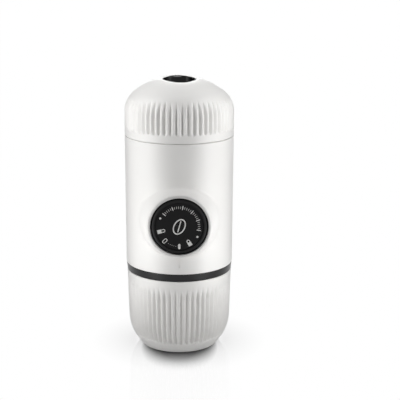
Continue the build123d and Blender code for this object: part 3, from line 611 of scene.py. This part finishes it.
# the knob's front: a disc with a slight dish, and its printed marks
knobFront = {
    "radius": 13.3, "front": 39.6, "back": 38.4, "edgeRound": 0.3,
    "dish": 0.22, "dishRadius": 12, "rimFrom": 12.2, "steps": 96,
    "print": 0.04,           # thickness of the printed marks
    "sunk": 0.01,            # how deep they start in the face
}


def faceReach(radius):
    # how far forward the dished face is there, in mm
    hollow = max(0, 1 - (radius / knobFront["dishRadius"]) ** 2)
    return knobFront["front"] - knobFront["dish"] * hollow


rim = roundCorners(
    [(knobFront["rimFrom"], knobFront["front"]), (knobFront["radius"], knobFront["front"]),
     (knobFront["radius"], knobFront["back"])], [knobFront["edgeRound"]])
face = turned([(r, faceReach(r)) for r in range(0, knobFront["dishRadius"] + 1, 2)]
              + rim + [(0, knobFront["back"])], knobFront["steps"], onPump=True)
finishPiece(face, "dished_face", grainedAbs, "knob", 35)
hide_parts("knob_face")

# pad-printed ink: a thin, slightly raised film, satin and evenly coloured
whiteInk = mouldedPlastic("whitePadPrintedInk", "#F7F7F5", 0.45, 0.3, 0.004, shade=0.03)
paleInk = mouldedPlastic("greyPadPrintedInk", "#BDBDBA", 0.5, 0.3, 0.004, shade=0.03)


def printMark(name, width, length, angle, radius, ink, hollow=0.0, points=18, oval=False):
    # a pill-shaped or oval mark that points to the knob's axis; its place is an angle from the right
    deselectAll()
    bpy.ops.mesh.primitive_circle_add(vertices=points, radius=width / 2 * mm, fill_type="NGON",
                                      location=(0, 0, 0))
    mark = bpy.context.object
    editStart(mark)
    if points == 4:
        bpy.ops.transform.rotate(value=pi / 4, orient_axis="Z", center_override=(0, 0, 0))
    if oval:
        bpy.ops.transform.resize(value=(1, length / width, 1), center_override=(0, 0, 0))
    elif length > width:
        for side in (-1, 1):
            selectWhere(mark, lambda co: co.y * side > weld)
            bpy.ops.transform.translate(value=(0, side * (length - width) / 2 * mm, 0))
    bpy.ops.mesh.select_all(action="SELECT")
    if hollow:
        bpy.ops.mesh.select_mode(type="FACE")
        bpy.ops.mesh.select_all(action="SELECT")
        bpy.ops.mesh.inset(thickness=hollow * mm)
        bpy.ops.mesh.delete(type="FACE")
        bpy.ops.mesh.select_all(action="SELECT")
    bpy.ops.mesh.extrude_region_move(TRANSFORM_OT_translate={"value": (0, 0, knobFront["print"] * mm)})
    bpy.ops.mesh.select_all(action="SELECT")
    bpy.ops.mesh.normals_make_consistent(inside=False)
    bpy.ops.object.mode_set(mode="OBJECT")
    turn = radians(angle)
    reach = faceReach(radius + length / 2) - knobFront["sunk"]
    mark.rotation_euler = (pi / 2, pi / 2 - turn, 0)
    mark.location = (radius * mm * cos(turn), -reach * mm, pumpHeight + radius * mm * sin(turn))
    finishPiece(mark, name, ink, "knob", 30)


# sizes and radii in mm, places in degrees from the right
markTable = [
    # name, width, length, place, radius, width of the line where it is hollow
    ("mark_closed", 1.35, 3.05, -90, 11.1, 0.0),
    ("mark_open", 1.9, 3.3, -135, 11.15, 0.38),
    ("dot_left", 1.2, 1.2, 155, 11.4, 0.0),
    ("dot_right", 1.2, 1.2, -29.5, 11.4, 0.0),
]
smallDots = {"count": 5, "first": -122, "step": 5.5, "size": 0.42, "radius": 11.1}
tickScale = {
    "count": 26, "first": 140, "step": -6, "radius": 10.8, "longEvery": 5,
    "long": (0.5, 2.4), "short": (0.4, 1.5),             # width and length
}
padlocks = {
    "body": 3.1, "bodyRadius": 11.2, "shackle": (1.9, 2.7), "shackleRadius": 9.9, "line": 0.42,
    "places": [("closed", -59, 0.0), ("open", -166, 0.7)],       # and how far the shackle is lifted
}
bean = {
    "outline": (6.4, 9.4), "line": 0.65, "turn": 62,
    "crease": (0.6, 3.4), "creaseTurn": 74, "creaseRadius": 1.55,        # half of the crease
}

print("espresso maker: knob marks")
for name, width, length, angle, radius, line in markTable:
    printMark(name, width, length, angle, radius, whiteInk, line)
for i in range(smallDots["count"]):
    printMark(f"dot_small_{i}", smallDots["size"], smallDots["size"],
              smallDots["first"] + smallDots["step"] * i, smallDots["radius"], paleInk, points=10)
# a plain tick scale over the top, with a longer tick at every fifth
for i in range(tickScale["count"]):
    isLong = i % tickScale["longEvery"] == 0
    width, length = tickScale["long" if isLong else "short"]
    printMark(f"scale_tick_{i}", width, length, tickScale["first"] + tickScale["step"] * i,
              tickScale["radius"], whiteInk if isLong else paleInk, points=8)
# padlocks beside the closed and the open mark: a body and a shackle
for name, angle, lift in padlocks["places"]:
    width, length = padlocks["shackle"]
    printMark(f"padlock_{name}", padlocks["body"], padlocks["body"], angle, padlocks["bodyRadius"],
              whiteInk, points=4)
    printMark(f"shackle_{name}", width, length, angle, padlocks["shackleRadius"] - lift,
              whiteInk, padlocks["line"])
# a coffee bean in the middle, its crease in two halves
width, length = bean["outline"]
printMark("bean_outline", width, length, bean["turn"], 0.0, whiteInk, bean["line"], 40, True)
for i in range(2):
    width, length = bean["crease"]
    printMark(f"bean_line_{i}", width, length, bean["creaseTurn"] + 180 * i, bean["creaseRadius"],
              whiteInk, points=10)


# the room: a pale floor and soft lamps
cameraView = {
    "place": (0, -613.003, 235.121), "turn": (76.2334, -0.2584, -1.0544),        # mm and degrees
    "lens": 98.318, "sensor": 36.0, "nearest": 10,
}
lampTable = [
    # azimuth from the front, distance, height, width, tall, tilt down, watts: upright strips, two
    # small panels over the shoulders, two by the cup, and a wide strip behind
    (-46, 68, 205, 30, 350, 0, 0.073),
    (46, 68, 205, 30, 350, 0, 0.073),
    (-74, 64, 204, 44, 44, 48, 0.0125),
    (74, 64, 204, 44, 44, 48, 0.0095),
    (-40, 78, 42, 36, 44, 0, 0.005),
    (40, 78, 42, 36, 44, 0, 0.005),
    (180, 110, 205, 60, 350, 0, 0.14),
]
topLamp = {"place": (0, 50, 600), "width": 500, "watts": 0.04}
roomFill = 0.08              # strength of the light from all sides
floorBoard = {
    "size": 14,              # metres
    "samples": 12,
    # the painted shadow falls to the front, so the board asks what stands near it, up and to the back, and
    # dims its glow there
    "asksWithin": 0.026, "asksTowards": (0, 0.85, 0.53),
    # the painted shadow's power is set by the place on the board and falls off round the cup's foot, from
    # near to far, in metres
    "footMiddle": (0, 0.014, 0), "footSqueeze": (1.7, 1, 0),
    "near": 0.018, "nearPower": 3.2, "far": 0.038, "farPower": 0.3,
    "mirrorIor": 1.16, "mirrorBlur": 0.12,
}

print("espresso maker: camera and lamps")
deselectAll()
bpy.ops.object.camera_add(location=[v * mm for v in cameraView["place"]],
                          rotation=[radians(v) for v in cameraView["turn"]])
camera = bpy.context.object
camera.data.lens = cameraView["lens"]
camera.data.sensor_width = cameraView["sensor"]
camera.data.clip_start = cameraView["nearest"] * mm
bpy.context.scene.camera = camera


def addLamp(shape, place, turn, width, tall, watts):
    bpy.ops.object.light_add(type="AREA", location=[v * mm for v in place], rotation=turn)
    lamp = bpy.context.object
    lamp.data.shape = shape
    lamp.data.size = width * mm
    lamp.data.size_y = tall * mm
    lamp.data.energy = watts
    lamp.visible_camera = False


for azimuth, distance, height, width, tall, tilt, watts in lampTable:
    turn = radians(azimuth)
    addLamp("RECTANGLE", (distance * sin(turn), -distance * cos(turn), height),
            (pi / 2 - radians(tilt), 0, turn), width, tall, watts)
addLamp("DISK", topLamp["place"], (0, 0, 0), topLamp["width"], topLamp["width"], topLamp["watts"])


def backgroundRays(tree):
    # 1 for rays that see the room directly, in a gloss or through a clear wall, and 0 for its light
    rays = addNode(tree, "ShaderNodeLightPath")
    seen = addNode(tree, "ShaderNodeMath", {"operation": "MAXIMUM"},
                   {0: rays.outputs["Is Camera Ray"], 1: rays.outputs["Is Glossy Ray"]})
    seen = addNode(tree, "ShaderNodeMath", {"operation": "MAXIMUM"},
                   {0: seen.outputs[0], 1: rays.outputs["Is Transmission Ray"]})
    return seen.outputs[0]


print("espresso maker: floor and room")
bpy.ops.mesh.primitive_plane_add(size=floorBoard["size"], location=(0, 0, 0))
floor = bpy.context.object
floor.name = "studio_floor"
# white acrylic board: it shows as plain white, with a painted shadow where its glow is dimmed near the object
# and round the cup's foot, and a faint mirror image
paintedShadowBoard = newMaterial("whiteBoardPaintedShadow")
tree = paintedShadowBoard.node_tree
nearby = addNode(tree, "ShaderNodeAmbientOcclusion",
                 {"Distance": floorBoard["asksWithin"], "Normal": floorBoard["asksTowards"]})
nearby.samples = floorBoard["samples"]
place = addNode(tree, "ShaderNodeTexCoord")
place = addNode(tree, "ShaderNodeMapping",
                {"Location": floorBoard["footMiddle"], "Scale": floorBoard["footSqueeze"]},
                {"Vector": place.outputs["Object"]})
away = addNode(tree, "ShaderNodeVectorMath", {"operation": "LENGTH"}, {0: place.outputs[0]})
# painted shadow: its power comes from the place on the board round the cup's foot, not from a lamp
depth = addNode(tree, "ShaderNodeMapRange",
                {"From Min": floorBoard["near"], "From Max": floorBoard["far"],
                 "To Min": floorBoard["nearPower"], "To Max": floorBoard["farPower"]},
                {"Value": away.outputs["Value"]})
shade = addNode(tree, "ShaderNodeMath", {"operation": "POWER"},
                {0: nearby.outputs["AO"], 1: depth.outputs[0]})
# the board's white glow, dimmed into a painted shadow
white = addNode(tree, "ShaderNodeEmission", {"Color": (1, 1, 1, 1)}, {"Strength": shade.outputs[0]})
board = addNode(tree, "ShaderNodeBsdfDiffuse", {"Color": hexColour("#FFFFFF")})
lit = addNode(tree, "ShaderNodeMixShader",
              links={0: backgroundRays(tree), 1: board.outputs[0], 2: white.outputs[0]})
gloss = addNode(tree, "ShaderNodeBsdfGlossy", {"Color": (1, 1, 1, 1), "Roughness": floorBoard["mirrorBlur"]})
skin = addNode(tree, "ShaderNodeFresnel", {"IOR": floorBoard["mirrorIor"]})
coated = addNode(tree, "ShaderNodeMixShader",
                 links={0: skin.outputs[0], 1: lit.outputs[0], 2: gloss.outputs[0]})
addNode(tree, "ShaderNodeOutputMaterial", links={"Surface": coated.outputs[0]})
floor.data.materials.append(paintedShadowBoard)

world = bpy.data.worlds.new("studio")
bpy.context.scene.world = world
world.use_nodes = True
tree = world.node_tree
tree.nodes.clear()
fill = addNode(tree, "ShaderNodeBackground", {"Color": hexColour("#FFFFFF"), "Strength": roomFill})
white = addNode(tree, "ShaderNodeBackground", {"Color": hexColour("#FFFFFF"), "Strength": 1.0})
mixed = addNode(tree, "ShaderNodeMixShader",
                links={0: backgroundRays(tree), 1: fill.outputs[0], 2: white.outputs[0]})
addNode(tree, "ShaderNodeOutputWorld", links={"Surface": mixed.outputs[0]})
bpy.context.scene.view_settings.view_transform = "Standard"

print("espresso maker: done")
